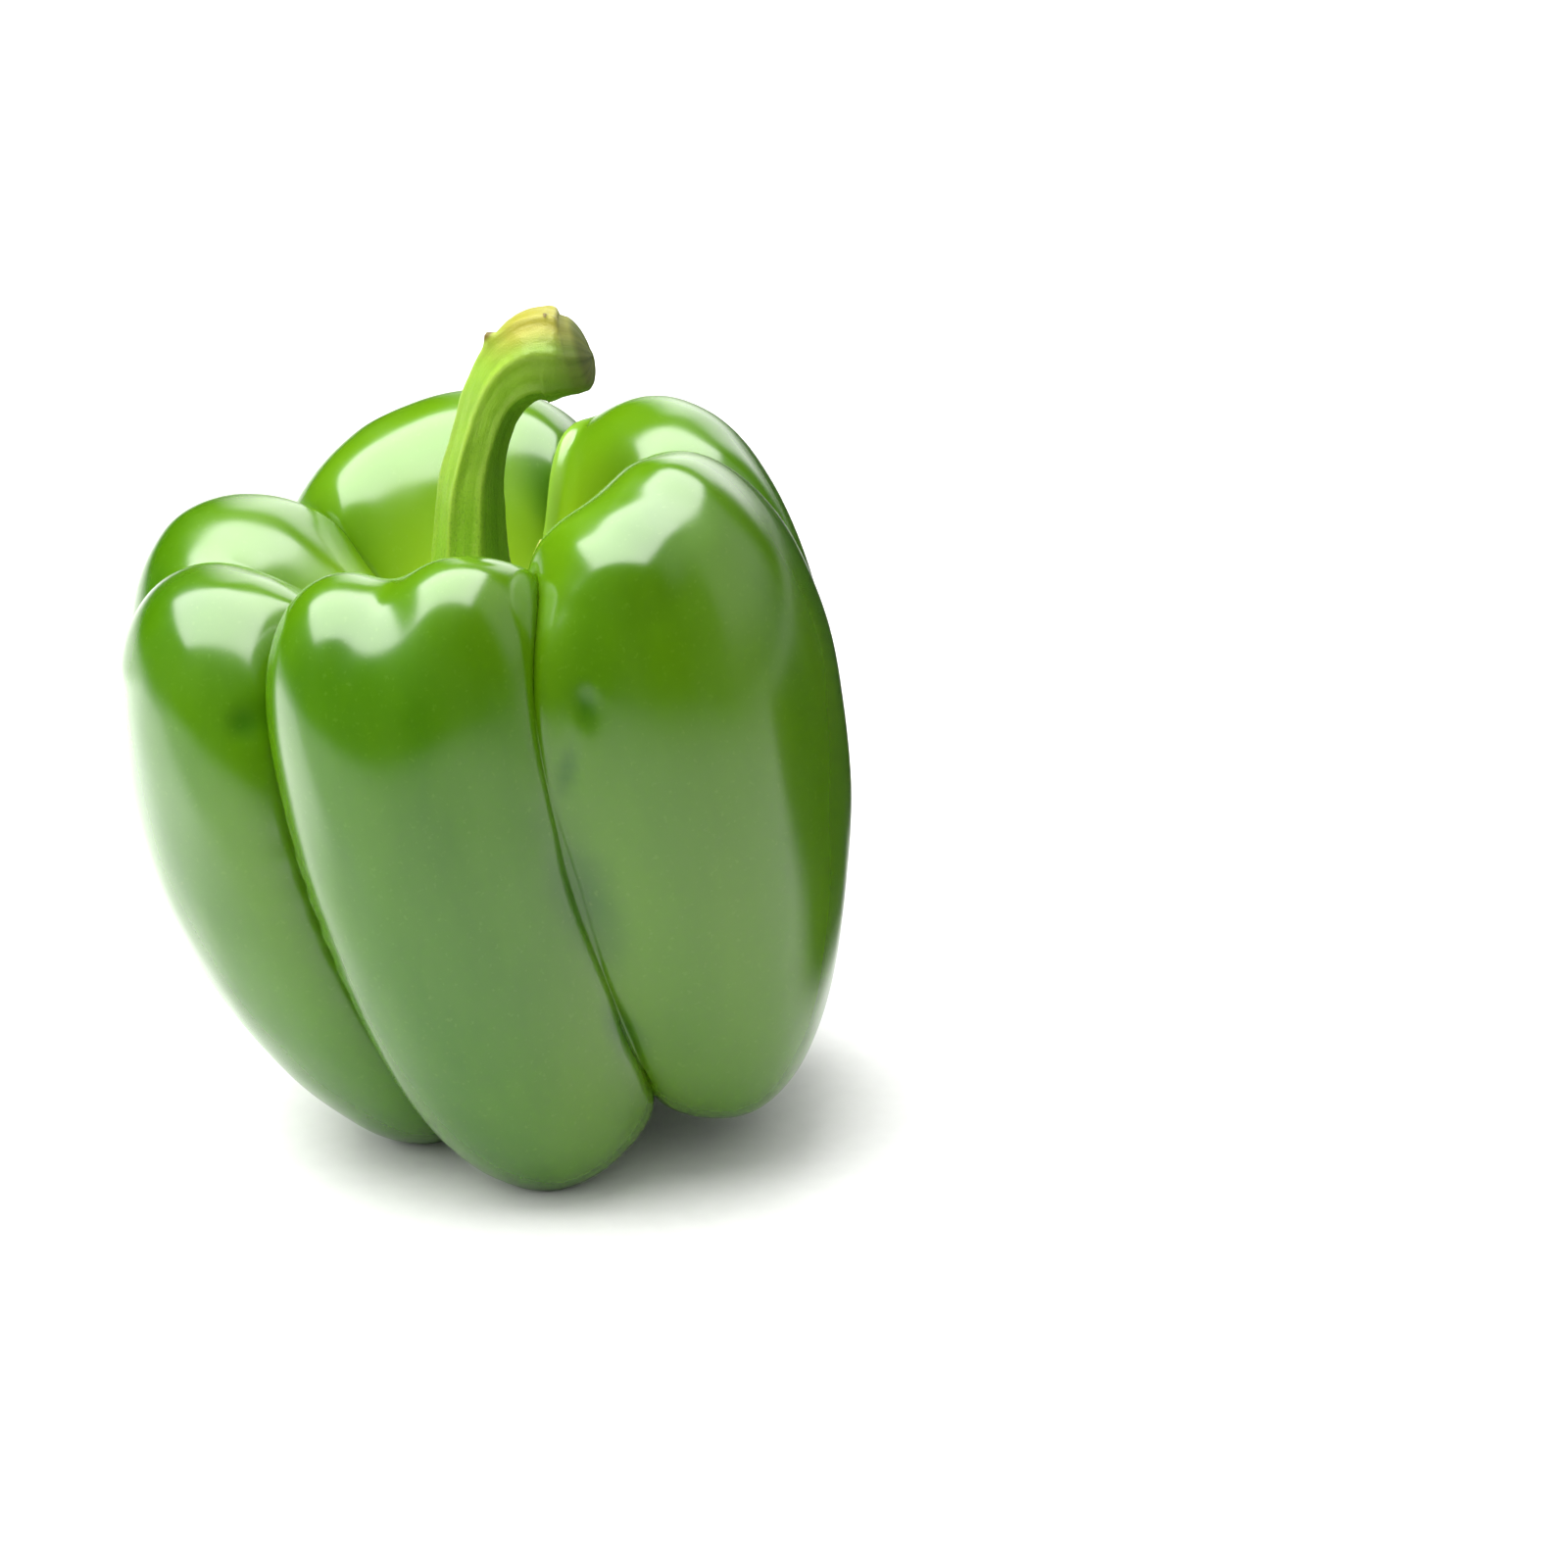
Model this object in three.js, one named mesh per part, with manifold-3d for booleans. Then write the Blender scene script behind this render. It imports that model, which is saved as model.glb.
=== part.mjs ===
// A green bell pepper as picked, with its calyx and stalk, standing on the feet of its lobes.
// Millimetres, +Z up, front towards -Y. Everything is shaped upright, round the fruit's own axis at X = Y
// = 0, and then leaned to the left, because the fruit stands a little askew on feet of unequal length.
import * as THREE from "three";
import { mergeVertices } from "three/addons/utils/BufferGeometryUtils.js";
import Module from "manifold-3d";

const wasm = await Module();
wasm.setup();
const { clamp, degToRad, radToDeg, lerp, smoothstep } = THREE.MathUtils;
const UP = new THREE.Vector3(0, 0, 1);

// ---------- driving dimensions ----------

const LEAN = 11; // degrees from upright, towards -X

// Fruit: heights are measured up the fruit's axis from the level of its feet.
const HOLLOW_FLOOR_HEIGHT = 62; // the middle of the stem hollow
const SIDE_HEIGHT = 56; // where the fruit is widest
const BASE_HOLLOW_HEIGHT = 13; // the blossom end, between the feet
const FOOT_FLAT = 0.6; // depth of skin that is pressed flat under the lowest foot
const TABLE_SIZE = 400; // the block that presses it: only its top face matters
const CREST_FULLNESS = 2.4; // 2 makes a lobe's section round, more makes it squarer

// How far each bend of the profile keeps its direction before it turns.
const HOLLOW_FLOOR_RUN = 19;
const HOLLOW_RIM_RUN = 12;
const CREST_BULGE = 3; // how far a lobe's wall bulges into the hollow
const VALLEY_RETREAT = 5; // how far the wall draws back in a valley
const SHOULDER_RUN = 9.5;
const SHOULDER_DROP = 16;
const SIDE_DROP = 24;
const FOOT_RUN = 11;
const FOOT_INNER_RUN = 7;
const BASE_HOLLOW_RUN = 8;

// Lobes, anticlockwise seen from above: the crest's direction in degrees from +X, the radius and height
// of its shoulder, how far its side reaches, the radius of its foot and how far that foot stays off the
// table. It sways some degrees halfway down and has twisted some degrees by the foot.
const LOBES = [
  { angle: 329, ring: 29.5, shoulder: 88, reach: 44, foot: 23, lift: 5, sway: -5, twist: 2 },
  { angle: 35, ring: 29.5, shoulder: 85.5, reach: 43, foot: 22, lift: 3, sway: 0, twist: 0 },
  { angle: 96, ring: 32, shoulder: 86.6, reach: 45, foot: 22, lift: 0, sway: 0, twist: 0 },
  { angle: 160, ring: 34, shoulder: 84.5, reach: 47.5, foot: 21, lift: 4, sway: 0, twist: 0 },
  { angle: 204, ring: 35, shoulder: 85, reach: 49, foot: 22, lift: 0, sway: 3, twist: 2 },
  { angle: 258, ring: 32, shoulder: 87.3, reach: 46, foot: 24, lift: 0.1, sway: -9, twist: 6 },
];

// Valleys: each one follows the lobe of the same place in the list. Its direction, how much lower and
// further in it lies than the crests at the shoulder, the side and the foot, how sharp its crease is at
// either end and halfway down the side, its sway and its twist.
const VALLEYS = [
  { angle: 5, top: 8, side: 4, foot: 7, crease: 0.8, sideCrease: 0.7, sway: 0, twist: 0 },
  { angle: 62, top: 8, side: 6, foot: 8, crease: 0.85, sideCrease: 0.7, sway: 2, twist: 0 },
  { angle: 136, top: 9, side: 5.5, foot: 8, crease: 0.8, sideCrease: 0.6, sway: -2, twist: 0 },
  { angle: 184, top: 5, side: 2, foot: 4, crease: 0.5, sideCrease: 0.4, sway: 0, twist: 0 },
  { angle: 226, top: 11, side: 9, foot: 10, crease: 0.9, sideCrease: 0.9, sway: 5, twist: 5 },
  { angle: 295, top: 11, side: 8, foot: 9, crease: 0.75, sideCrease: 0.4, sway: -15, twist: 3 },
];

const VALLEY_TOP_INSET = 0.75; // how far in a valley lies at the shoulder, for each millimetre it lies lower
const VALLEY_FOOT_INSET = 0.4; // the same at the foot, for each millimetre it lies higher

// The front lobe's shoulder has a shallow dip of its own.
const DIP_ANGLE = 257;
const DIP_WIDTH = 9;
const DIP_SHARE = 0.38; // of the lobe's bulge

// How finely the skin is divided.
const COLUMNS_PER_HALF_LOBE = 8;
const HOLLOW_ROWS = 11;
const SHOULDER_ROWS = 8;
const SIDE_ROWS = 10;
const BASE_ROWS = 8;

const GAP = 0.3; // between touching pieces

// Calyx: a green frill with points that lies in the hollow round the foot of the stalk. How far it
// reaches up the hollow's wall is given along the profile: 0 is the middle of the hollow and 1 the
// shoulder.
const CALYX_INNER_ALONG = 0.05;
const CALYX_ALONG = 0.29;
const CALYX_BEND_ALONG = 0.22; // where its rim turns up off the wall
const CALYX_POINT_ALONG = 0.07;
const CALYX_POINTS = 7;
const CALYX_COLUMNS = 63;
const CALYX_THICKNESS = 1.3;
const CALYX_RIM_THICKNESS = 0.8;
const CALYX_RIM_LIFT = 0.9;
const CALYX_COLLAR_RISE = 2.6; // higher where it clasps the stalk

// Stalk: the stations of its middle line, in the plane of the lean. Out is the distance from the fruit's
// axis, up the height above the hollow's floor; the first lies under the floor, so that the stalk is cut
// to the hollow's shape.
const STALK = [
  { out: -0.8, up: -3, radius: 7.2 },
  { out: -0.7, up: 5, radius: 6.2 },
  { out: -0.2, up: 12.2, radius: 5.3 },
  { out: 1.9, up: 21.5, radius: 4.25 },
  { out: 3.9, up: 27, radius: 3.7 },
  { out: 6.6, up: 32.2, radius: 3.4 },
  { out: 9.8, up: 35.9, radius: 3.8 },
  { out: 13.2, up: 37.7, radius: 4.9 },
  { out: 17.2, up: 37.7, radius: 5.6 },
  { out: 20.2, up: 37.3, radius: 3.9 },
];
const STALK_RIBS = 6;
const STALK_RIB_SHARE = 0.05;
const STALK_SIDES = 30;
const STALK_RINGS = 27;

// ---------- fruit ----------

const point = (x, z) => new THREE.Vector2(x, z);

const lobeBefore = (i) => (i + LOBES.length - 1) % LOBES.length;

// Degrees from one direction to another, between -180 and 180.
const turn = (from, to) => ((((to - from) % 360) + 540) % 360) - 180;

// Where a crest or a valley has got to on its way down: both run straight over the shoulder.
function direction({ angle, sway, twist }, along) {
  const swayed = sway * Math.sin((Math.PI / 2) * clamp(along - 1, 0, 2));
  return angle + swayed + twist * smoothstep(along, 1, 3);
}

// A profile from the middle of the stem hollow over the shoulder, down the side and under the foot to the
// blossom end. Its wall bulges some way into the hollow.
function profile(shoulder, side, foot, bulge) {
  const floor = point(0, HOLLOW_FLOOR_HEIGHT);
  const base = point(0, BASE_HOLLOW_HEIGHT);
  const bends = [
    [floor, [HOLLOW_FLOOR_RUN - bulge, 0], [-HOLLOW_RIM_RUN - bulge, 0], shoulder],
    [shoulder, [SHOULDER_RUN, 0], [0, SHOULDER_DROP], side],
    [side, [0, -SIDE_DROP], [FOOT_RUN, 0], foot],
    [foot, [-FOOT_INNER_RUN, 0], [BASE_HOLLOW_RUN, 0], base],
  ];
  return bends.map(
    ([from, leave, arrive, to]) =>
      new THREE.CubicBezierCurve(
        from,
        from.clone().add(point(...leave)),
        to.clone().add(point(...arrive)),
        to,
      ),
  );
}

const FOOT = 3; // how far along the profile the foot lies: the hollow is 0, the shoulder 1 and the side 2

// The height up the axis at which a foot lands on the table once the fruit has leaned.
function footHeight(angle, radius, lift) {
  const outwards = radius * Math.cos(degToRad(angle));
  return lift - outwards * Math.tan(degToRad(LEAN));
}

function crestProfile(lobe) {
  const { ring, shoulder, reach, foot, lift } = lobe;
  return profile(
    point(ring, shoulder),
    point(reach, SIDE_HEIGHT),
    point(foot, footHeight(direction(lobe, FOOT), foot, lift)),
    CREST_BULGE,
  );
}

// A valley's profile lies inside the mean of its two neighbours.
function valleyProfile(valley, before, after) {
  const { top, side, foot } = valley;
  const mean = (key) => (before[key] + after[key]) / 2;
  return profile(
    point(mean("ring") - top * VALLEY_TOP_INSET, mean("shoulder") - top),
    point(mean("reach") - side, SIDE_HEIGHT),
    point(
      mean("foot") - foot * VALLEY_FOOT_INSET,
      footHeight(direction(valley, FOOT), mean("foot"), mean("lift")) + foot,
    ),
    -VALLEY_RETREAT,
  );
}

const crestProfiles = LOBES.map(crestProfile);
const valleyProfiles = VALLEYS.map((valley, i) =>
  valleyProfile(valley, LOBES[i], LOBES[(i + 1) % LOBES.length]),
);

const BEND_ROWS = [HOLLOW_ROWS, SHOULDER_ROWS, SIDE_ROWS, BASE_ROWS];
const ROWS = BEND_ROWS.reduce((sum, rows) => sum + rows);
const COLUMNS_PER_LOBE = 2 * COLUMNS_PER_HALF_LOBE;
const COLUMNS = LOBES.length * COLUMNS_PER_LOBE;

// How far along the profile a row lies: 0 in the stem hollow, 1 on the shoulder, 2 at the side, 3 under
// the foot.
function alongOfRow(row) {
  let left = row;
  for (const [bend, rows] of BEND_ROWS.entries()) {
    if (left <= rows) return bend + left / rows;
    left -= rows;
  }
  return BEND_ROWS.length;
}

function onProfile(bends, along) {
  const bend = Math.min(Math.floor(along), bends.length - 1);
  return bends[bend].getPoint(along - bend);
}

// A lobe's bulge, 1 on its crest and 0 in the valley, at a share of the way across.
function bulgeAt(across, crease) {
  const round = Math.sqrt(1 - across ** CREST_FULLNESS);
  const soft = (1 + Math.cos(Math.PI * across)) / 2;
  return lerp(soft, round, crease);
}

function dipAt(angle, along) {
  const onShoulder = smoothstep(along, 0.3, 0.9) * (1 - smoothstep(along, 1.2, 1.8));
  const off = turn(DIP_ANGLE, angle) / DIP_WIDTH;
  return 1 - DIP_SHARE * onShoulder * Math.exp(-off * off);
}

// The place on a lobe's skin: across runs from -1 in the valley before it, over 0 on its crest, to 1 in
// the next.
function skinAt(lobe, across, along) {
  const next = across < 0 ? lobeBefore(lobe) : lobe;
  const middle = direction(LOBES[lobe], along);
  const share = Math.abs(across);
  const angle = middle + turn(middle, direction(VALLEYS[next], along)) * share;
  const out = onProfile(crestProfiles[lobe], along);
  const low = onProfile(valleyProfiles[next], along);
  const { crease: endCrease, sideCrease } = VALLEYS[next];
  const onSide = smoothstep(along, 1, 2) * (1 - smoothstep(along, 2.1, 3));
  const crease = lerp(endCrease, sideCrease, onSide);
  const bulge = bulgeAt(share, crease) * dipAt(angle, along);
  const place = new THREE.Vector3(lerp(low.x, out.x, bulge), 0, lerp(low.y, out.y, bulge));
  return place.applyAxisAngle(UP, degToRad(angle));
}

// The place on the skin in any direction from the axis, inside the stem hollow, where no valley sways.
function hollowAt(angle, along) {
  const lobe = LOBES.findIndex((_, i) => {
    const pastValleyBefore = turn(VALLEYS[lobeBefore(i)].angle, angle) >= 0;
    return pastValleyBefore && turn(VALLEYS[i].angle, angle) < 0;
  });
  const crest = LOBES[lobe].angle;
  const off = turn(crest, angle);
  const next = off < 0 ? lobeBefore(lobe) : lobe;
  return skinAt(lobe, off / Math.abs(turn(crest, VALLEYS[next].angle)), along);
}

// A sphere's mesh, with each vertex moved to its own place on the skin.
function fruitGeometry() {
  const geometry = new THREE.SphereGeometry(1, COLUMNS, ROWS);
  const { position } = geometry.attributes;
  for (let i = 0; i < position.count; i++) {
    const column = (i % (COLUMNS + 1)) % COLUMNS;
    const step = (column % COLUMNS_PER_LOBE) / COLUMNS_PER_HALF_LOBE - 1;
    // Columns crowd together towards a valley, where the skin turns most.
    const across = Math.sin((Math.PI / 2) * step);
    const along = alongOfRow(Math.floor(i / (COLUMNS + 1)));
    const place = skinAt(Math.floor(column / COLUMNS_PER_LOBE), across, along);
    position.setXYZ(i, place.x, place.y, place.z);
  }
  return geometry;
}

// ---------- stalk and calyx ----------

function stalkRadius(share) {
  const at = share * (STALK.length - 1);
  const i = Math.min(Math.floor(at), STALK.length - 2);
  return lerp(STALK[i].radius, STALK[i + 1].radius, at - i);
}

// A cylinder's mesh, bent along the stalk's line and fattened all round by a little extra.
function stalkGeometry(extra) {
  const line = new THREE.CatmullRomCurve3(
    STALK.map(({ out, up }) => new THREE.Vector3(out, 0, HOLLOW_FLOOR_HEIGHT + up)),
  );
  const geometry = new THREE.CylinderGeometry(1, 1, 1, STALK_SIDES, STALK_RINGS);
  const { position } = geometry.attributes;
  const depthAxis = new THREE.Vector3(0, 1, 0);
  for (let i = 0; i < position.count; i++) {
    const share = position.getY(i) + 0.5;
    const middle = line.getPoint(share);
    const across = new THREE.Vector3().crossVectors(depthAxis, line.getTangent(share));
    const turned = Math.atan2(position.getZ(i), position.getX(i));
    const onAxis = Math.hypot(position.getX(i), position.getZ(i)) < 0.5;
    const rib = 1 + STALK_RIB_SHARE * Math.cos(STALK_RIBS * turned);
    const radius = onAxis ? 0 : stalkRadius(share) * rib + extra;
    middle.addScaledVector(across, radius * Math.cos(turned));
    middle.addScaledVector(depthAxis, -radius * Math.sin(turned));
    position.setXYZ(i, middle.x, middle.y, middle.z);
  }
  return geometry;
}

// A ring turned round the axis, then laid along the wall of the hollow. Its outline is drawn as how far
// along the fruit's profile a corner lies, and how far it stands off the skin.
function calyxGeometry() {
  const outline = [
    [CALYX_INNER_ALONG, GAP],
    [CALYX_BEND_ALONG, GAP],
    [CALYX_ALONG, GAP + CALYX_RIM_LIFT],
    [CALYX_ALONG, GAP + CALYX_RIM_LIFT + CALYX_RIM_THICKNESS],
    [CALYX_BEND_ALONG, GAP + CALYX_THICKNESS],
    [CALYX_INNER_ALONG, GAP + CALYX_THICKNESS + CALYX_COLLAR_RISE],
  ];
  const points = [...outline, outline[0]].map(([along, off]) => point(along, off));
  const geometry = new THREE.LatheGeometry(points, CALYX_COLUMNS).rotateX(Math.PI / 2);
  const { position } = geometry.attributes;
  for (let i = 0; i < position.count; i++) {
    const turned = Math.atan2(position.getY(i), position.getX(i));
    const along = Math.hypot(position.getX(i), position.getY(i));
    const onRim = smoothstep(along, CALYX_INNER_ALONG, CALYX_ALONG);
    const tooth = Math.abs(Math.cos((CALYX_POINTS * turned) / 2)) ** 4;
    const place = hollowAt(radToDeg(turned), along + CALYX_POINT_ALONG * tooth * onRim);
    position.setXYZ(i, place.x, place.y, place.z + position.getZ(i));
  }
  return geometry;
}

// ---------- joining and cutting ----------

function toSolid(geometry) {
  const bare = geometry.clone().deleteAttribute("normal").deleteAttribute("uv");
  const merged = mergeVertices(bare, 1e-3);
  return new wasm.Manifold(
    new wasm.Mesh({
      numProp: 3,
      vertProperties: merged.attributes.position.array,
      triVerts: new Uint32Array(merged.index.array),
    }),
  );
}

function toGeometry(solid) {
  const { vertProperties, triVerts } = solid.getMesh();
  const geometry = new THREE.BufferGeometry();
  geometry.setAttribute("position", new THREE.BufferAttribute(vertProperties, 3));
  geometry.setIndex(new THREE.BufferAttribute(triVerts, 1));
  geometry.computeVertexNormals();
  return geometry;
}

// ---------- the pepper ----------

const stance = new THREE.Group();
stance.rotation.y = -degToRad(LEAN);
stance.updateMatrix();

const fruitShape = fruitGeometry();
const leaned = fruitShape.clone().applyMatrix4(stance.matrix);
leaned.computeBoundingBox();
const tableHeight = leaned.boundingBox.min.z + FOOT_FLAT;
const table = new THREE.BoxGeometry(TABLE_SIZE, TABLE_SIZE, TABLE_SIZE)
  .translate(0, 0, tableHeight - TABLE_SIZE / 2)
  .applyMatrix4(stance.matrix.clone().invert());

const fruitSolid = toSolid(fruitShape).subtract(toSolid(table));
const raisedFruit = fruitSolid.translate([0, 0, GAP]);
const stalkSolid = toSolid(stalkGeometry(0)).subtract(raisedFruit);
const calyxSolid = toSolid(calyxGeometry())
  .subtract(raisedFruit)
  .subtract(toSolid(stalkGeometry(GAP)));

const skin = new THREE.MeshStandardMaterial({ color: 0x3f7d0c, roughness: 0.22, metalness: 0 });
const sepal = new THREE.MeshStandardMaterial({ color: 0x6f9a2c, roughness: 0.55, metalness: 0 });
const stem = new THREE.MeshStandardMaterial({ color: 0x86ad45, roughness: 0.5, metalness: 0 });

function addPiece(name, solid, material) {
  const mesh = new THREE.Mesh(toGeometry(solid), material);
  mesh.name = name;
  stance.add(mesh);
}
addPiece("fruit", fruitSolid, skin);
addPiece("calyx", calyxSolid, sepal);
addPiece("stalk", stalkSolid, stem);

// The origin is under the middle of the standing pepper, on the table.
const pepper = new THREE.Group();
pepper.add(stance);
const extent = new THREE.Box3().setFromObject(pepper, true);
stance.position.set(
  -(extent.min.x + extent.max.x) / 2,
  -(extent.min.y + extent.max.y) / 2,
  -tableHeight,
);

export default pepper;
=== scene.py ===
"""A green bell pepper with its calyx and stalk, standing on a white table in soft studio light."""

import math

import bmesh
import bpy
import numpy as np
from mathutils import Matrix, Vector, noise
from mathutils.bvhtree import BVHTree


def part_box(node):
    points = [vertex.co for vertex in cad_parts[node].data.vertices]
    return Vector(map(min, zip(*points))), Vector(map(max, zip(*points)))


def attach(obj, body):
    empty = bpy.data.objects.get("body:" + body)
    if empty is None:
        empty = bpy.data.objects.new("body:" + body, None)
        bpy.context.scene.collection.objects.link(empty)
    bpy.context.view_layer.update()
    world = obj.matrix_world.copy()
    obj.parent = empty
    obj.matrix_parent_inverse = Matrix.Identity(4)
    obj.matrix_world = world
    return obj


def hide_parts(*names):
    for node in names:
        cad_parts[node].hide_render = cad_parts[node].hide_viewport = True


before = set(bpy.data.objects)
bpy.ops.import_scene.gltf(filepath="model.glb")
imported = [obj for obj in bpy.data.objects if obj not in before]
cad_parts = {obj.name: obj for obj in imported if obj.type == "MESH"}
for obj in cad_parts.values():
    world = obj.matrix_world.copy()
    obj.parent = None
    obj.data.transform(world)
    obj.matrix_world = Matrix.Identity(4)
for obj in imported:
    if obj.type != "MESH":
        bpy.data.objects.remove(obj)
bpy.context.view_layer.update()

MM = 0.001
SAME_PLACE = 0.01 * MM  # vertices nearer than this become one

# ---------- camera ----------

CAMERA_PLACE = (0.0370, -0.6803, 0.3184)
CAMERA_TILT = math.radians(22)  # looking down by this much
CAMERA_LENS = 134.4
CAMERA_SENSOR = 36

camera = bpy.data.objects.new("camera", bpy.data.cameras.new("camera"))
bpy.context.scene.collection.objects.link(camera)
camera.location = CAMERA_PLACE
camera.rotation_euler = (math.pi / 2 - CAMERA_TILT, 0, 0)
camera.data.lens = CAMERA_LENS
camera.data.sensor_width = CAMERA_SENSOR
camera.data.clip_start = 0.01
camera.data.clip_end = 20
bpy.context.scene.camera = camera
bpy.context.scene.view_settings.view_transform = "Standard"

# ---------- the fruit's own frame ----------

# The fruit leans to the left. Its axis comes up from the table a little right of the middle.
LEAN = math.radians(11)
AXIS_TO_RIGHT = 12.6 * MM
AXIS_BELOW_FEET = 0.3 * MM
fruit_low, fruit_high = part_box("fruit")
axis_foot = Vector(
    (
        (fruit_low.x + fruit_high.x) / 2 + AXIS_TO_RIGHT,
        (fruit_low.y + fruit_high.y) / 2,
        fruit_low.z - AXIS_BELOW_FEET,
    )
)
LEANING = Matrix.Translation(axis_foot) @ Matrix.Rotation(-LEAN, 4, "Y")
UPRIGHT = LEANING.inverted()
HOLLOW_FLOOR = 62 * MM  # height of the stem hollow's floor up the axis


# ---------- mesh helpers ----------


def new_piece(name, bm):
    """A smooth-shaded object of this mesh that rides with the pepper."""
    mesh = bpy.data.meshes.new(name)
    bm.to_mesh(mesh)
    bm.free()
    piece = bpy.data.objects.new(name, mesh)
    bpy.context.scene.collection.objects.link(piece)
    mesh.shade_smooth()
    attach(piece, "root")
    return piece


def subdivided(piece, levels):
    """The piece's mesh is replaced by its Catmull-Clark subdivision."""
    modifier = piece.modifiers.new("smooth", "SUBSURF")
    modifier.levels = levels
    modifier.render_levels = levels
    graph = bpy.context.evaluated_depsgraph_get()
    mesh = bpy.data.meshes.new_from_object(piece.evaluated_get(graph))
    piece.modifiers.clear()
    old = piece.data
    piece.data = mesh
    bpy.data.meshes.remove(old)
    mesh.shade_smooth()


def places(mesh):
    """The mesh's vertices, a row for each."""
    co = np.empty(len(mesh.vertices) * 3)
    mesh.vertices.foreach_get("co", co)
    return co.reshape(-1, 3)


def normals(mesh):
    """Which way each vertex faces."""
    no = np.empty(len(mesh.vertices) * 3)
    mesh.vertex_normals.foreach_get("vector", no)
    return no.reshape(-1, 3)


def put_places(mesh, co):
    mesh.vertices.foreach_set("co", co.ravel())
    mesh.update()


def put_attribute(mesh, name, values):
    """A number for each vertex, for the materials to read."""
    attribute = mesh.attributes.new(name, "FLOAT", "POINT")
    attribute.data.foreach_set("value", np.asarray(values, np.float32))


def put_vectors(mesh, name, vectors):
    """A vector for each vertex, for the materials to read."""
    attribute = mesh.attributes.new(name, "FLOAT_VECTOR", "POINT")
    attribute.data.foreach_set("vector", np.asarray(vectors, np.float32).ravel())


def moved(co, matrix):
    """All the places moved by one matrix."""
    matrix = np.array(matrix)
    return co @ matrix[:3, :3].T + matrix[:3, 3]


def upright(co):
    """Places on the table, told in the fruit's own frame."""
    return moved(co, UPRIGHT)


def leaned(co):
    """Places in the fruit's own frame, told on the table."""
    return moved(co, LEANING)


def noise_at(points, size, seed):
    """Smooth noise from -1 to 1, with features of about this size. Each seed gives another pattern."""
    shift = Vector((seed, seed * 0.37, seed * 1.91))
    return np.array([noise.noise(Vector(p) / size + shift) for p in points])


def smoothstep(x, low, high):
    """0 up to low, 1 from high on, and a soft rise between them."""
    t = np.clip((x - low) / (high - low), 0, 1)
    return t * t * (3 - 2 * t)


def between(x, start, full, fading, end):
    """1 from full to fading, and 0 before start and after end."""
    return smoothstep(x, start, full) * (1 - smoothstep(x, fading, end))


def angle_off(angle, other):
    """How far one direction lies from another, from -pi to pi."""
    return (angle - other + math.pi) % math.tau - math.pi


def crease_depth(mesh, rounds, depth_rounds, full_depth):
    """How deep each vertex lies in a fold of the surface: 0 on open skin, 1 in a valley this deep."""
    edges = np.empty(len(mesh.edges) * 2, int)
    mesh.edges.foreach_get("vertices", edges)
    a, b = edges.reshape(-1, 2).T
    co, no = places(mesh), normals(mesh)
    count = np.bincount(np.concatenate([a, b]), minlength=len(co))

    def mean_of_neighbours(values):
        total = np.zeros_like(values)
        np.add.at(total, a, values[b])
        np.add.at(total, b, values[a])
        return total / count.reshape(-1, *[1] * (values.ndim - 1))

    smoothed = co
    for _ in range(rounds):
        smoothed = mean_of_neighbours(smoothed)
    depth = ((smoothed - co) * no).sum(1)
    for _ in range(depth_rounds):
        depth = mean_of_neighbours(depth)
    return np.clip(depth / full_depth, 0, 1)


# ---------- fruit ----------

SKIN_LEVELS = 2
SKIN_ABOVE_TABLE = 0.05 * MM
PLUMPNESS = 0.4 * MM  # what rounding off takes from the lobes is put back
CREASE_ROUNDS = 24  # of evening out the skin to find its creases
CREASE_DEPTH_ROUNDS = 4  # of evening out the depth found
FULL_CREASE = 0.6 * MM

# Grown skin is never even: how high it swells and how far the swells lie apart. They run long up the fruit.
UP_THE_FRUIT = (1, 1, 0.45)
BROAD_SWELL, BROAD_SIZE = 0.45 * MM, 17 * MM
FINE_SWELL, FINE_SIZE = 0.16 * MM, 6 * MM
CREASE_RIPPLE, RIPPLE_SIZE = 0.22 * MM, 4.2 * MM

# Places pushed in, listed in the fruit's own frame: direction in degrees, height in millimetres, half the
# width, half the length, depth, and the slant: how far the place runs across for each millimetre down.
# The skin in the dents is painted a darker green, a painted shade for the dark skin that the real valleys
# mirror: four along the valley between the front lobe and the one to its right, one on the lobe to its
# left, and one between the two lobes behind the stalk.
DENTS = [
    (-68.4, 66.9, 1.7, 3.2, 0.35, -0.1),
    (-74.4, 59.7, 1.7, 4.5, 0.4, -0.4),
    (-76.2, 43.0, 4.6, 13.0, 0.7, 0.12),
    (-73.2, 23.0, 2.6, 6.5, 0.25, 0.3),
    (-131.2, 70.5, 1.8, 2.6, 0.5, 0.3),
    (63.0, 76.0, 3.6, 11.0, 0.3, -0.4),
]
# A flat, and a knuckle with a depth below 0, on the shoulder of the right front lobe.
KNUCKLES = [
    (-38.0, 86.5, 6.0, 6.0, 0.8, 0.0),
    (-54.0, 80.0, 6.5, 5.0, -1.1, 0.0),
]
DENT_EDGE = 1.2  # where a dent ends, in halves of its width and length
DENT_EDGE_WANDER = 0.3
DENT_EDGE_SIZE = 5 * MM

# A low seam runs down the wall of the stem hollow, between the two lobes behind the stalk. It keeps to
# these distances from the fruit's axis.
SEAM_ANGLE = math.radians(55)
SEAM_RISE = 1.3 * MM
SEAM_WIDTH = 0.9 * MM
SEAM_SPAN = (9 * MM, 13 * MM, 24 * MM, 30 * MM)
SEAM_LOWEST = 55 * MM

# The left edge of the front lobe is wavy between these heights.
WAVE_ANGLE = math.radians(-127.5)
WAVE_SPREAD = math.radians(5)
WAVE_LENGTH = 5.2 * MM
WAVE_RISE = 0.3 * MM
WAVE_SPAN = (30 * MM, 38 * MM, 52 * MM, 60 * MM)

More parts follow.
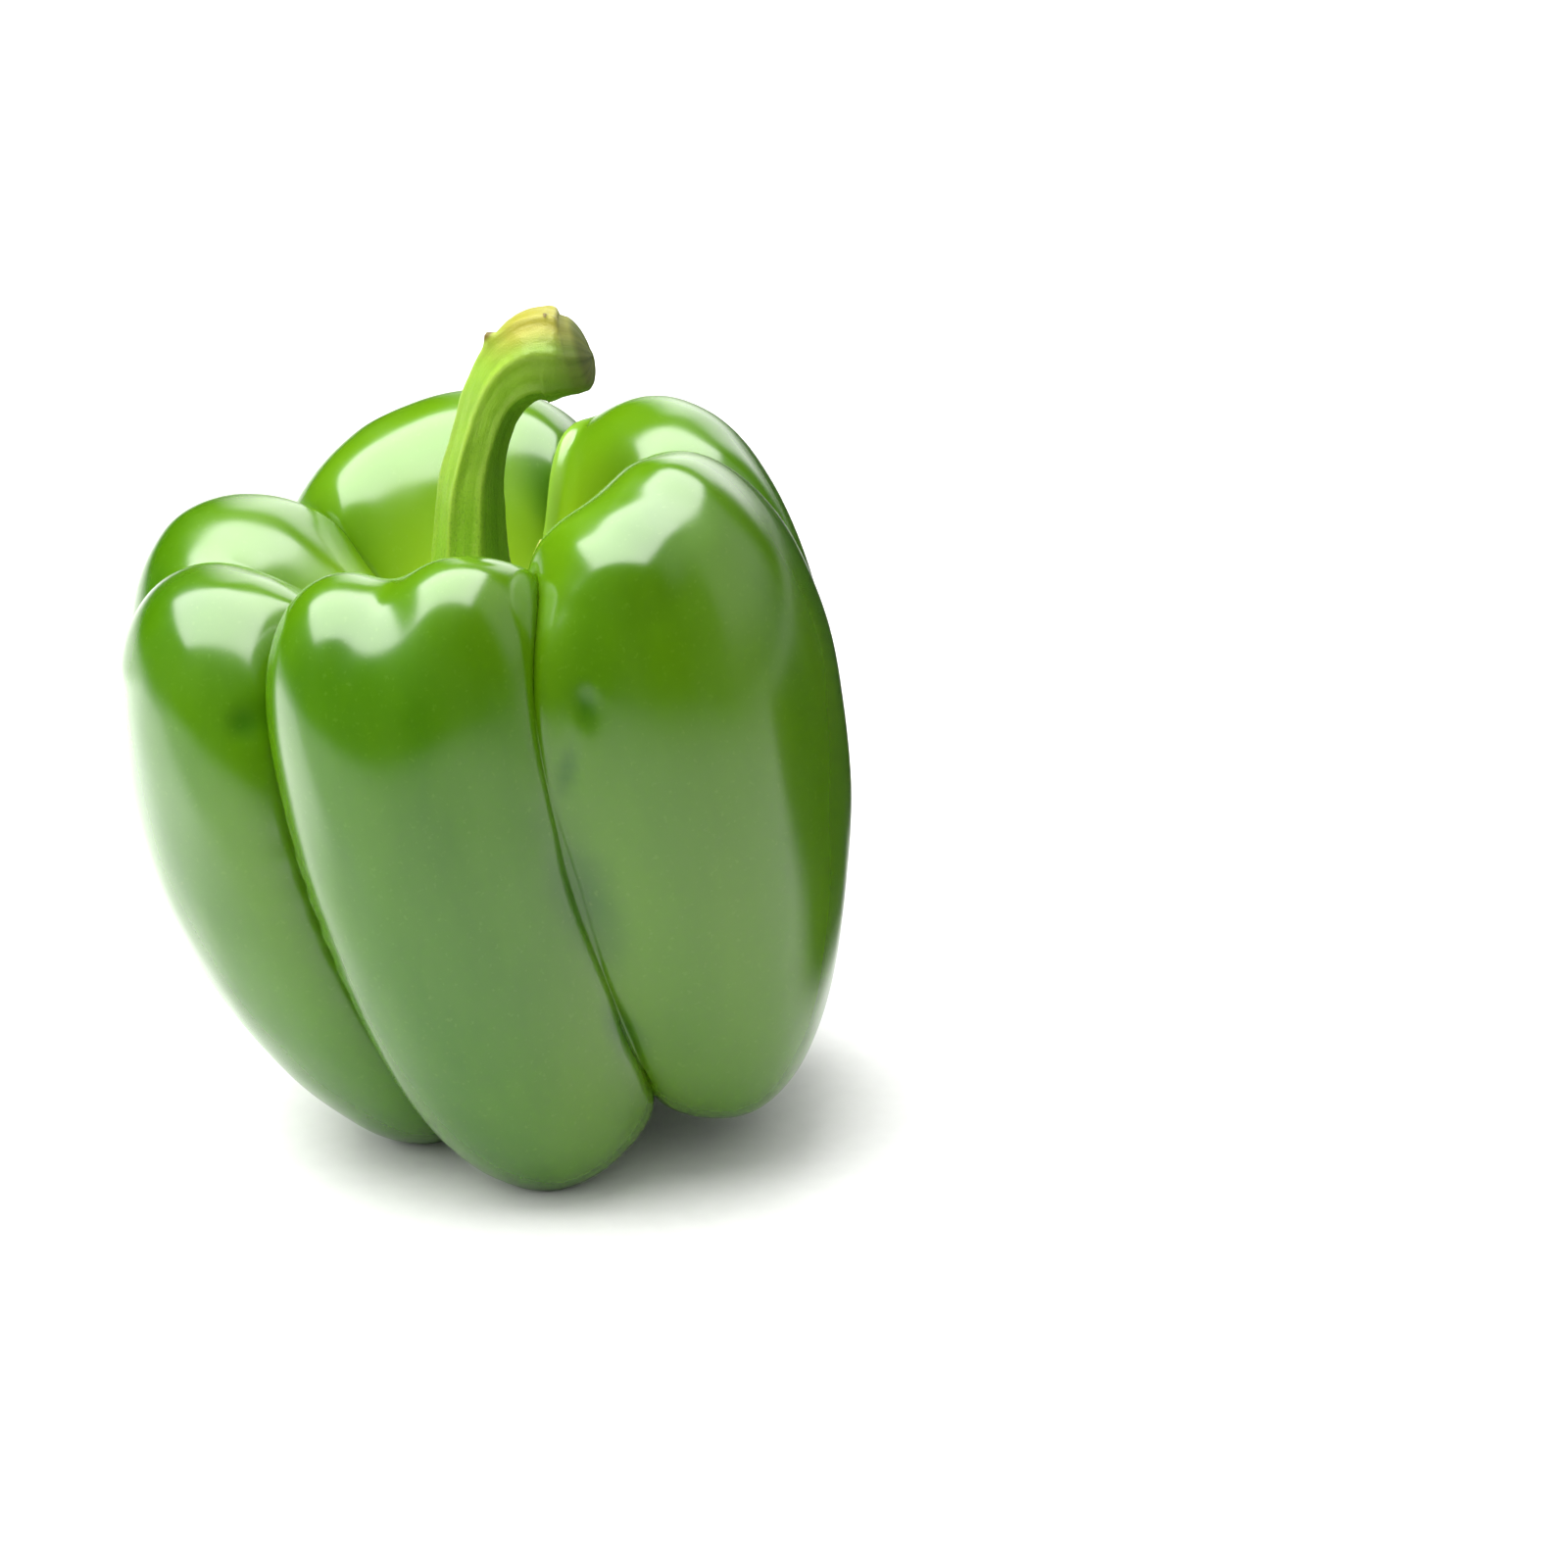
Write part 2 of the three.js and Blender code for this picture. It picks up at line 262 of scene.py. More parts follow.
# The scar of the fallen flower, in the hollow between the feet.
BLOSSOM_SCAR_HIGHEST = 20 * MM
BLOSSOM_SCAR_RADIUS = 3.2 * MM
BLOSSOM_SCAR_DEPTH = 1.1 * MM
BLOSSOM_SCAR_GRAIN = 1.1 * MM


def pushed_in(local, rows):
    """How deep these rows push each place in, and how near each place is to the middle of one of them."""
    x, y, height = local.T
    way = np.arctan2(y, x)
    radius = np.hypot(x, y)
    sunk = np.zeros(len(local))
    nearness = np.zeros(len(local))
    for degrees, up, half_width, half_length, depth, slant in rows:
        down = (up * MM - height) / MM
        across = angle_off(way, math.radians(degrees)) * radius / MM - slant * down
        reach = np.hypot(across / half_width, down / half_length)
        edge = DENT_EDGE + DENT_EDGE_WANDER * noise_at(local, DENT_EDGE_SIZE, seed=degrees)
        dent = 1 - smoothstep(reach, 0, edge)
        sunk += dent * depth * MM
        nearness = np.maximum(nearness, dent)
    return sunk, nearness


def shaped_by_hand(local):
    """How far the dents, seam, waves and scar raise each place, and where the dents, seam and scar are."""
    x, y, height = local.T
    way = np.arctan2(y, x)
    radius = np.hypot(x, y)
    dent_depth, dent_painted_shade = pushed_in(local, DENTS)
    knuckle_depth, _ = pushed_in(local, KNUCKLES)

    seam_off = angle_off(way, SEAM_ANGLE) * radius
    in_hollow = between(radius, *SEAM_SPAN) * (height > SEAM_LOWEST)
    seam = np.exp(-((seam_off / SEAM_WIDTH) ** 2)) * in_hollow

    at_edge = np.exp(-((angle_off(way, WAVE_ANGLE) / WAVE_SPREAD) ** 2)) * between(height, *WAVE_SPAN)
    waves = at_edge * np.sin(math.tau * height / WAVE_LENGTH)

    pit = np.exp(-((radius / BLOSSOM_SCAR_RADIUS) ** 4)) * (height < BLOSSOM_SCAR_HIGHEST)
    pit_depth = pit * BLOSSOM_SCAR_DEPTH * (1 + noise_at(local, BLOSSOM_SCAR_GRAIN, seed=5.5))

    raised = seam * SEAM_RISE + waves * WAVE_RISE - dent_depth - knuckle_depth - pit_depth
    return raised, dent_painted_shade, seam, pit


def fruit_skin():
    """The fruit's solid, rounded off and then given the uneven swell of grown skin."""
    bm = bmesh.new()
    bm.from_mesh(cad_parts["fruit"].data)
    bmesh.ops.remove_doubles(bm, verts=bm.verts, dist=SAME_PLACE)
    bmesh.ops.join_triangles(
        bm,
        faces=bm.faces,
        angle_face_threshold=math.radians(60),
        angle_shape_threshold=math.radians(75),
    )
    skin = new_piece("fruit_skin", bm)
    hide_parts("fruit")
    subdivided(skin, SKIN_LEVELS)
    mesh = skin.data
    co, no = places(mesh), normals(mesh)
    crease = crease_depth(mesh, CREASE_ROUNDS, CREASE_DEPTH_ROUNDS, FULL_CREASE)
    local = upright(co)
    swell = noise_at(local * UP_THE_FRUIT, BROAD_SIZE, seed=3.1) * BROAD_SWELL
    swell += noise_at(local * UP_THE_FRUIT, FINE_SIZE, seed=7.7) * FINE_SWELL
    ripple = noise_at(local, RIPPLE_SIZE, seed=11.3) * CREASE_RIPPLE * crease
    raised, dent_painted_shade, seam, pit = shaped_by_hand(local)
    plump = PLUMPNESS * (1 - crease)
    co = co + no * (swell + ripple + raised + plump)[:, None]
    co[:, 2] = np.maximum(co[:, 2], SKIN_ABOVE_TABLE)
    put_places(mesh, co)
    # The dent mask, for the painted shade that deepens the green in the dents.
    put_attribute(mesh, "dent_painted_shade", dent_painted_shade)
    # The seam's mask, for the painted highlight along it.
    put_attribute(mesh, "seam", seam)
    put_attribute(mesh, "pit", pit)
    return skin


# ---------- shapes turned round an axis ----------


def turned_outline(outline, cuts, sides, closed):
    """A bmesh of an outline in X and Z, each stretch cut so many times, turned once round Z."""
    bm = bmesh.new()
    corners = [bm.verts.new((x, 0, z)) for x, z in outline]
    ends = corners[1:] + corners[:1] if closed else corners[1:]
    stretches = [bm.edges.new(pair) for pair in zip(corners, ends)]
    for stretch, count in zip(stretches, cuts):
        bmesh.ops.subdivide_edges(bm, edges=[stretch], cuts=count)
    bmesh.ops.spin(
        bm,
        geom=bm.verts[:] + bm.edges[:],
        cent=(0, 0, 0),
        axis=(0, 0, 1),
        angle=math.tau,
        steps=sides,
        use_merge=True,
    )
    bmesh.ops.remove_doubles(bm, verts=bm.verts, dist=SAME_PLACE)
    bmesh.ops.recalc_face_normals(bm, faces=bm.faces)
    return bm


# ---------- stalk ----------

# Stations of the stalk's middle line, in millimetres: how far out from the fruit's axis, how high above
# the hollow's floor, and the radius there.
STALK = np.array(
    [
        (-0.4, 0.6, 7.0),
        (-0.2, 4.6, 6.2),
        (0.1, 12.2, 4.8),
        (2.0, 21.5, 3.9),
        (4.0, 27.0, 3.45),
        (6.6, 32.2, 3.5),
        (9.9, 35.8, 4.5),
        (13.0, 37.2, 5.5),
        (15.5, 37.1, 5.6),
        (17.5, 36.7, 4.7),
    ]
)
STALK_LENGTH = 52.0  # along the middle line
STATION_STEP = 0.004  # the share of the length over which the line's direction is taken
STALK_SIDES = 96
STALK_RINGS = 130
CUT_RINGS = 14
FOOT_RINGS = 3
RIND_LENGTH = 9  # the length of the rind's pattern, when its radius is 1
RIBS = 7
FIRST_RIB = math.radians(-132)  # round from the right, against the clock from above
RIB_TWIST = 0.5
RIB_HEIGHT = 0.5
RIB_WIDTH = math.radians(8)
RIB_SUNK = 0.3  # the share of a rib's height that the grooves lie below the plain tube
RIB_UNEVEN = 0.7
RIBS_FADE = 0.6  # how much lower the ribs are at the cut end
RIND_LUMPS = 0.25
RIND_GRAIN = 0.06
CUT_STARTS = 0.88  # the share of the length from which the ribs fade and the stalk slopes to its cut
CUT_DOME = 2.7
CUT_DOME_LUMPS = 0.3
CUT_SLOPE = 0.30  # the cut face looks a little upwards
# Scars of fallen flowers: how far along the stalk, which way round, how wide and how proud.
SCARS = [(0.70, math.radians(-172), 0.8, 1.1), (0.86, math.radians(-160), 0.5, 0.2)]


def smooth_between(stations, share):
    """A smooth curve through the stations, read at shares of its length."""
    last = len(stations) - 1
    at = np.clip(share, 0, 1) * last
    start = np.minimum(at.astype(int), last - 1)
    t = (at - start)[:, None]
    before, here, after, beyond = (stations[np.clip(start + k, 0, last)] for k in (-1, 0, 1, 2))
    return 0.5 * (
        2 * here
        + (after - before) * t
        + (2 * before - 5 * here + 4 * after - beyond) * t**2
        + (3 * here - before - 3 * after + beyond) * t**3
    )


def stalk_piece():
    """The stalk: a straight tube bent along the stalk's line, ribbed, scarred and cut off at its end.

    The tube starts out with a radius and a length of 1, so its height is the share of the stalk's length.
    """
    outline = [(0, 0), (1, 0), (1, 1), (0, 1)]
    tube = turned_outline(outline, (FOOT_RINGS, STALK_RINGS, CUT_RINGS), STALK_SIDES, closed=False)
    stalk = new_piece("stalk_ribbed", tube)
    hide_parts("stalk")
    mesh = stalk.data
    x, y, share = places(mesh).T
    inward = np.clip(np.hypot(x, y), 0, 1)
    way = np.arctan2(y, x)
    rind = np.stack([np.cos(way), np.sin(way), share * RIND_LENGTH], 1)

    line = smooth_between(STALK, share)
    ahead = smooth_between(STALK, share + STATION_STEP) - smooth_between(STALK, share - STATION_STEP)
    tangent = ahead[:, :2] / np.linalg.norm(ahead[:, :2], axis=1)[:, None]
    sideways = np.stack([tangent[:, 1], -tangent[:, 0]], 1)

    off_rib = np.abs(angle_off(RIBS * (way - FIRST_RIB - RIB_TWIST * share), 0)) / RIBS
    rib = np.exp(-((off_rib / RIB_WIDTH) ** 2))
    uneven = 1 + RIB_UNEVEN * noise_at(rind, 1.6, seed=4.4)
    at_end = smoothstep(share, CUT_STARTS, 1)
    proud = (rib - RIB_SUNK) * RIB_HEIGHT * uneven * (1 - RIBS_FADE * at_end)
    proud += noise_at(rind, 0.22, seed=9.1) * RIND_GRAIN + noise_at(rind, 0.9, seed=2.7) * RIND_LUMPS
    scar = np.zeros(len(x))
    for along, round_it, width, height in SCARS:
        off = np.hypot((share - along) * STALK_LENGTH, angle_off(way, round_it) * line[:, 2])
        blob = np.exp(-((off / width) ** 2))
        proud += blob * height
        scar = np.maximum(scar, blob)

    radius = (line[:, 2] + proud) * inward
    side = radius * np.cos(way)
    back = radius * np.sin(way)
    dome = CUT_DOME * np.sqrt(np.clip(1 - inward**2, 0, 1))
    dome += noise_at(rind, 0.5, seed=6.1) * CUT_DOME_LUMPS * (1 - inward)
    on_cut = share > 0.999
    lengthwise = at_end * CUT_SLOPE * side + on_cut * dome
    middle = line[:, :2] + sideways * side[:, None] + tangent * lengthwise[:, None]
    co = np.stack([middle[:, 0], back, middle[:, 1]], 1)
    put_places(mesh, leaned(co * MM + (0, 0, HOLLOW_FLOOR)))
    put_vectors(mesh, "rind", rind)
    put_attribute(mesh, "rib", rib)
    put_attribute(mesh, "share", share)
    # Which way round each place faces, for the bend's yellow and the painted shade on the inner side.
    put_attribute(mesh, "outer", -np.cos(way))
    put_attribute(mesh, "scar", scar)
    # The dried cut, and the end of the tube darkening towards it: partly dried rind, partly painted shade
    # where the rounded end turns from the light.
    drying_and_shade = 0.6 * smoothstep(share, 0.84, 1.04) + 0.5 * smoothstep(1 - inward, 0, 0.4)
    put_attribute(mesh, "cut", drying_and_shade)
    return stalk


# ---------- calyx ----------

# In millimetres, in the fruit's own frame.
CALYX_INNER = 5.2  # radius
CALYX_OUTER = 11.3  # radius between the teeth
CALYX_TEETH = 7
CALYX_TOOTH = 2.0
CALYX_SIDES = 252
CALYX_ROWS = 26
CALYX_RAGGED = (0.9, 0.6)  # how far the rim wanders, broadly and finely
CALYX_FOLDS = 0.35
CALYX_GAP = 0.3  # above the fruit's skin
CALYX_THICKNESS = 1.3
CALYX_RIM_THICKNESS = 0.5
CALYX_COLLAR = 2.6
CALYX_CURL = 1.6
ABOVE_HOLLOW = 30 * MM  # where the drops onto the skin start


def hollow_tree(skin):
    """The fruit's skin, ready to be met by rays."""
    bm = bmesh.new()
    bm.from_mesh(skin.data)
    tree = BVHTree.FromBMesh(bm)
    bm.free()
    return tree


def drop_onto(tree, x, y):
    """How high the fruit's skin lies under a place in the hollow, in the fruit's own frame."""
    start = LEANING @ Vector((x, y, HOLLOW_FLOOR + ABOVE_HOLLOW))
    down = LEANING.to_3x3() @ Vector((0, 0, -1))
    return (UPRIGHT @ tree.ray_cast(start, down)[0]).z


def calyx_piece(skin):
    """The calyx: a thin ring laid in the hollow, with ragged teeth round its rim and a collar inside."""
    outline = [(1, 0), (2, 0), (2, 1), (1, 1)]
    ring = turned_outline(outline, (CALYX_ROWS, 2, CALYX_ROWS, 2), CALYX_SIDES, closed=True)
    calyx = new_piece("calyx_frill", ring)
    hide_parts("calyx")
    mesh = calyx.data
    x, y, upper = places(mesh).T
    way = np.arctan2(y, x)
    outward = np.hypot(x, y) - 1
    unit = np.stack([np.cos(way), np.sin(way), outward], 1)

    tooth = np.abs(np.cos(CALYX_TEETH * way / 2)) ** 3
    round_rim = unit * (1, 1, 0)
    ragged = noise_at(round_rim, 0.35, seed=5.2) * CALYX_RAGGED[0]
    ragged += noise_at(round_rim, 0.06, seed=8.3) * CALYX_RAGGED[1]
    rim = CALYX_OUTER + CALYX_TOOTH * tooth + ragged
    radius = CALYX_INNER + (rim - CALYX_INNER) * outward
    folds = noise_at(unit * (1, 1, 0.25), 0.13, seed=1.7) * CALYX_FOLDS * smoothstep(outward, 0.1, 0.6)
    curl = CALYX_CURL * smoothstep(outward, 0.62, 1) * (1 + 0.8 * noise_at(unit, 0.3, seed=2.9))
    collar = CALYX_COLLAR * (1 - smoothstep(outward, 0, 0.4))
    thinning = (CALYX_RIM_THICKNESS - CALYX_THICKNESS) * smoothstep(outward, 0.3, 1)
    tree = hollow_tree(skin)
    floor = np.array([drop_onto(tree, *place) for place in unit[:, :2] * radius[:, None] * MM])
    height = CALYX_GAP + curl + (folds + collar + CALYX_THICKNESS + thinning) * upper
    co = np.stack([unit[:, 0] * radius * MM, unit[:, 1] * radius * MM, floor + height * MM], 1)
    put_places(mesh, leaned(co))
    put_vectors(mesh, "rind", unit)
    put_attribute(mesh, "outward", outward)
    return calyx


# ---------- materials ----------


class Nodes:
    """A node tree, written as nested calls."""

    def __init__(self, tree):
        self.tree = tree

    def new(self, kind, values=(), **settings):
        node = self.tree.nodes.new(kind)
        for key, value in settings.items():
            setattr(node, key, value)
        for socket, value in dict(values).items():
            self.feed(node.inputs[socket], value)
        return node

    def feed(self, socket, value):
        """The socket is linked to another one or given a value of its own."""
        if isinstance(value, bpy.types.NodeSocket):
            self.tree.links.new(value, socket)
        else:
            socket.default_value = value

    def attribute(self, name):
        return self.new("ShaderNodeAttribute", attribute_name=name).outputs["Fac"]

    def vectors(self, name):
        return self.new("ShaderNodeAttribute", attribute_name=name).outputs["Vector"]

    def split(self, vector):
        """The vector's X, Y and Z."""
        return self.new("ShaderNodeSeparateXYZ", {0: vector}).outputs[:3]

    def scaled(self, vector, scale):
        values = {0: vector, 1: scale}
        return self.new("ShaderNodeVectorMath", values, operation="MULTIPLY").outputs[0]

    def noise(self, vector, scale, detail, roughness):
        values = {"Vector": vector, "Scale": scale, "Detail": detail, "Roughness": roughness}
        return self.new("ShaderNodeTexNoise", values).outputs["Fac"]

    def math(self, operation, *values):
        return self.new("ShaderNodeMath", enumerate(values), operation=operation).outputs[0]

    def ranged(self, value, low, high, to_low=0.0, to_high=1.0):
        """The value's way from low to high, told softly on another scale."""
        values = {0: value, 1: low, 2: high, 3: to_low, 4: to_high}
        return self.new("ShaderNodeMapRange", values, interpolation_type="SMOOTHSTEP").outputs[0]

    def mix(self, share, a, b):
        """Colour a with this share of colour b."""
        node = self.new("ShaderNodeMix", data_type="RGBA")
        for socket, value in ((0, share), (6, a), (7, b)):
            self.feed(node.inputs[socket], value)
        return node.outputs[2]

    def bump(self, height, strength, distance, normal=None):
        values = {"Height": height, "Strength": strength, "Distance": distance}
        if normal is not None:
            values["Normal"] = normal
        return self.new("ShaderNodeBump", values).outputs[0]


class Finish(Nodes):
    """A material: its shader and the nodes that feed it."""

    def __init__(self, name):
        self.material = bpy.data.materials.new(name)
        self.material.use_nodes = True
        super().__init__(self.material.node_tree)
        self.shader = self.tree.nodes["Principled BSDF"]
        self.object = self.new("ShaderNodeTexCoord").outputs["Object"]

    def set(self, **values):
        for name, value in values.items():
            self.feed(self.shader.inputs[name.replace("_", " ")], value)

    def mapped(self, matrix, scale=(1, 1, 1)):
        """Object coordinates moved by this matrix, then stretched."""
        values = {
            "Vector": self.object,
            "Location": matrix.to_translation(),
            "Rotation": matrix.to_euler(),
        }
        return self.scaled(self.new("ShaderNodeMapping", values).outputs[0], scale)


def shade(red, green, blue):
    """A colour given as screen values from 0 to 255."""

    def linear(value):
        value /= 255
        return value / 12.92 if value <= 0.04045 else ((value + 0.055) / 1.055) ** 2.4

    return (linear(red), linear(green), linear(blue), 1)


def waxy_green():
    """Glossy green skin, mottled along the fruit and paler towards the stem hollow, with painted light from
    above round the hollow, painted shade in the dents and a painted highlight on the seam.
    """
    nodes = Finish("waxy_green_skin")
    place = nodes.mapped(UPRIGHT)
    stretched = nodes.mapped(UPRIGHT, (1, 1, 0.35))
    x, y, height = nodes.split(place)
    flat = nodes.new("ShaderNodeCombineXYZ", {0: x, 1: y}).outputs[0]
    radius = nodes.new("ShaderNodeVectorMath", {0: flat}, operation="LENGTH").outputs["Value"]

    deep = shade(51, 96, 0)
    fresh = shade(68, 112, 2)
    ripe = shade(88, 122, 8)
    mottle = nodes.noise(stretched, 55, 4, 0.55)
    colour = nodes.mix(nodes.ranged(mottle, 0.25, 0.75), deep, fresh)
    ripening = nodes.ranged(nodes.noise(stretched, 22, 2, 0.5), 0.45, 0.75, 0, 0.45)
    colour = nodes.mix(ripening, colour, ripe)
    # Towards the stem hollow the skin turns yellow-green. The wide ring round the hollow is partly real
    # yellowing and partly painted light from above; the hollow itself pales further.
    upper = nodes.ranged(height, 50 * MM, 60 * MM)
    crown_tint_and_top_light = nodes.math("MULTIPLY", nodes.ranged(radius, 40 * MM, 26 * MM, 0, 0.6), upper)
    colour = nodes.mix(crown_tint_and_top_light, colour, shade(96, 140, 8))
    hollow = nodes.math("MULTIPLY", nodes.ranged(radius, 24 * MM, 8 * MM), upper)
    colour = nodes.mix(hollow, colour, shade(132, 168, 20))
    # Painted shade: the skin is a deeper green in the dents. The seam is painted paler, a painted highlight
    # along its ridge, and the skin is brown where the flower fell off.
    dent_painted_shade = nodes.math("MULTIPLY", nodes.attribute("dent_painted_shade"), 0.7)
    colour = nodes.mix(dent_painted_shade, colour, shade(34, 80, 0))
    # Painted highlight: a pale line along the seam's ridge.
    seam = nodes.math("MULTIPLY", nodes.attribute("seam"), 0.6)
    colour = nodes.mix(seam, colour, shade(140, 180, 60))
    pit = nodes.ranged(nodes.attribute("pit"), 0.3, 0.9)
    colour = nodes.mix(pit, colour, shade(112, 96, 44))
    # Faint pale specks.
    specks = nodes.ranged(nodes.noise(place, 1500, 2, 0.6), 0.6, 0.75, 0, 0.07)
    colour = nodes.mix(specks, colour, shade(140, 175, 80))

    peel = nodes.noise(place, 900, 2, 0.5)
    cloud = nodes.noise(stretched, 160, 3, 0.5)
    nodes.set(
        Base_Color=colour,
        Roughness=nodes.ranged(cloud, 0.3, 0.7, 0.17, 0.24),
        IOR=1.45,
        Normal=nodes.bump(peel, 0.10, 0.02 * MM),
        Coat_Weight=0.2,
        Coat_Roughness=0.12,
        Subsurface_Weight=0.08,
        Subsurface_Scale=0.003,
        Subsurface_Radius=(0.5, 1.0, 0.1),
    )
    return nodes.material


def stalk_rind():
    """Ribbed green stalk: pale ribs partly painted as highlights, a yellowed bend, brown scars, painted
    shade on its inner side and a dark cut, partly dried and partly painted shade.
    """
    nodes = Finish("ribbed_stalk")
    rind = nodes.vectors("rind")
    share = nodes.attribute("share")
    outer = nodes.attribute("outer")
    low = shade(114, 164, 24)
    high = shade(130, 168, 38)
    colour = nodes.mix(nodes.ranged(share, 0.05, 0.45), low, high)
    patches = nodes.ranged(nodes.noise(rind, 2.6, 4, 0.6), 0.35, 0.7, 0, 0.5)
    colour = nodes.mix(patches, colour, shade(118, 156, 36))
    streaks = nodes.noise(nodes.scaled(rind, (5, 5, 0.7)), 2.2, 4, 0.6)
    colour = nodes.mix(nodes.ranged(streaks, 0.5, 0.75, 0, 0.4), colour, shade(140, 164, 64))
    # The ribs are paler: partly their own colour, partly a painted highlight along their crests.
    rib = nodes.math("MULTIPLY", nodes.attribute("rib"), nodes.ranged(streaks, 0.25, 0.6, 0.2, 0.65))
    colour = nodes.mix(rib, colour, shade(144, 170, 56))
    # Dark and pale specks, most of them low down.
    low_down = nodes.ranged(share, 0.62, 0.2, 0.15, 0.55)
    dark_specks = nodes.ranged(nodes.noise(rind, 26, 3, 0.65), 0.52, 0.66)
    colour = nodes.mix(nodes.math("MULTIPLY", dark_specks, low_down), colour, shade(80, 112, 22))
    pale_specks = nodes.ranged(nodes.noise(rind, 19, 3, 0.65), 0.58, 0.7)
    colour = nodes.mix(nodes.math("MULTIPLY", pale_specks, low_down), colour, shade(158, 180, 84))
    # Past the bend the rind is darker, and yellow on its outer side.
    colour = nodes.mix(nodes.ranged(share, 0.62, 0.82, 0, 0.65), colour, shade(96, 122, 24))
    bend = nodes.ranged(share, 0.62, 0.8)
    yellow = nodes.math("MULTIPLY", bend, nodes.ranged(outer, 0.35, 0.9))
    colour = nodes.mix(yellow, colour, shade(142, 138, 36))
    scar = nodes.ranged(nodes.attribute("scar"), 0.15, 0.6)
    colour = nodes.mix(scar, colour, shade(92, 78, 18))
    # Painted shade: the inner side of the stalk, turned away from the light, is a deeper green.
    inner_side_painted_shade = nodes.ranged(outer, 0.0, -0.8, 0, 0.7)
    colour = nodes.mix(inner_side_painted_shade, colour, shade(66, 104, 14))
    # The cut is dark and the tube's end darkens into it: partly dried rind, partly painted shade.
    cut = nodes.ranged(nodes.attribute("cut"), 0.05, 0.9)
    dried = nodes.mix(nodes.noise(rind, 3.5, 4, 0.6), shade(30, 44, 6), shade(96, 104, 26))
    colour = nodes.mix(cut, colour, dried)

    ridges = nodes.bump(streaks, 0.35, 0.25 * MM)
    nodes.set(
        Base_Color=colour,
        Roughness=nodes.ranged(cut, 0, 1, 0.42, 0.8),
        IOR=1.33,
        Normal=nodes.bump(nodes.noise(rind, 22, 3, 0.6), 0.4, 0.14 * MM, ridges),
        Subsurface_Weight=0.1,
        Subsurface_Scale=0.002,
        Subsurface_Radius=(0.6, 1.0, 0.2),
    )
    return nodes.material


def calyx_leaf():
    """Dull green calyx with radial veins and a dry, pale, ragged rim."""
    nodes = Finish("calyx_leaf")
    rind = nodes.vectors("rind")
    outward = nodes.attribute("outward")
    veins = nodes.noise(nodes.scaled(rind, (1, 1, 0.12)), 11, 3, 0.6)
    colour = nodes.mix(nodes.ranged(veins, 0.4, 0.62), shade(84, 124, 26), shade(140, 168, 60))
    colour = nodes.mix(nodes.ranged(outward, 0.3, 0.0), colour, shade(120, 164, 44))
    colour = nodes.mix(nodes.ranged(outward, 0.8, 0.97), colour, shade(158, 172, 72))
    dry_patches = nodes.ranged(nodes.noise(rind, 9, 3, 0.6), 0.58, 0.72, 0, 0.6)
    colour = nodes.mix(dry_patches, colour, shade(104, 92, 34))
    nodes.set(
        Base_Color=colour,
        Roughness=nodes.ranged(veins, 0.3, 0.7, 0.5, 0.65),
        Normal=nodes.bump(veins, 0.5, 0.3 * MM),
        Subsurface_Weight=0.1,
        Subsurface_Scale=0.001,
    )
    return nodes.material


def finished(piece, material):
    """The piece in this material alone."""
    piece.data.materials.clear()
    piece.data.materials.append(material)
    return piece


skin = finished(fruit_skin(), waxy_green())
finished(stalk_piece(), stalk_rind())
finished(calyx_piece(skin), calyx_leaf())


# ---------- table, lights and room ----------


def staged_plane(name, size, place, turn=(0, 0, 0)):
    """A flat rectangle that belongs to the room."""
    bm = bmesh.new()
    bmesh.ops.create_grid(bm, x_segments=1, y_segments=1, size=0.5)
    bmesh.ops.scale(bm, vec=(*size, 1), verts=bm.verts)
    mesh = bpy.data.meshes.new(name)
    bm.to_mesh(mesh)
    bm.free()
    plane = bpy.data.objects.new(name, mesh)
    plane.location = place
    plane.rotation_euler = turn
    bpy.context.scene.collection.objects.link(plane)
    return plane


def white_table():
    """A wide white table top with the faintest grain."""
    table = staged_plane("table", (12, 12), (0, 0, 0))
    nodes = Finish("white_table")
    grain = nodes.ranged(nodes.noise(nodes.object, 300, 3, 0.5), 0.3, 0.7)
    nodes.set(
        Base_Color=nodes.mix(grain, (0.88, 0.88, 0.87, 1), (0.9, 0.9, 0.89, 1)),
        Roughness=0.6,
        Specular_IOR_Level=0.2,
    )
    table.data.materials.append(nodes.material)


def glowing(plane, radiance, edge):
    """A card that glows from its face and thins out to nothing from this share of its size outwards."""
    nodes = Finish(plane.name + "_glow")
    x, y, _ = nodes.split(nodes.object)
    half_x, half_y = (max(v.co[i] for v in plane.data.vertices) for i in (0, 1))
    inside = nodes.math(
        "MULTIPLY",
        nodes.ranged(nodes.math("ABSOLUTE", x), half_x, half_x * edge),
        nodes.ranged(nodes.math("ABSOLUTE", y), half_y, half_y * edge),
    )
    glow = nodes.new("ShaderNodeEmission", {"Strength": radiance}).outputs[0]
    clear = nodes.new("ShaderNodeBsdfTransparent").outputs[0]
    card = nodes.new("ShaderNodeMixShader", {0: inside, 1: clear, 2: glow}).outputs[0]
    nodes.feed(nodes.tree.nodes["Material Output"].inputs["Surface"], card)
    plane.data.materials.append(nodes.material)
    plane.visible_camera = False
    plane.visible_shadow = False


def only_in_gloss(plane):
    """The plane is mirrored by gloss and lights nothing else."""
    plane.visible_diffuse = False
    plane.visible_transmission = False


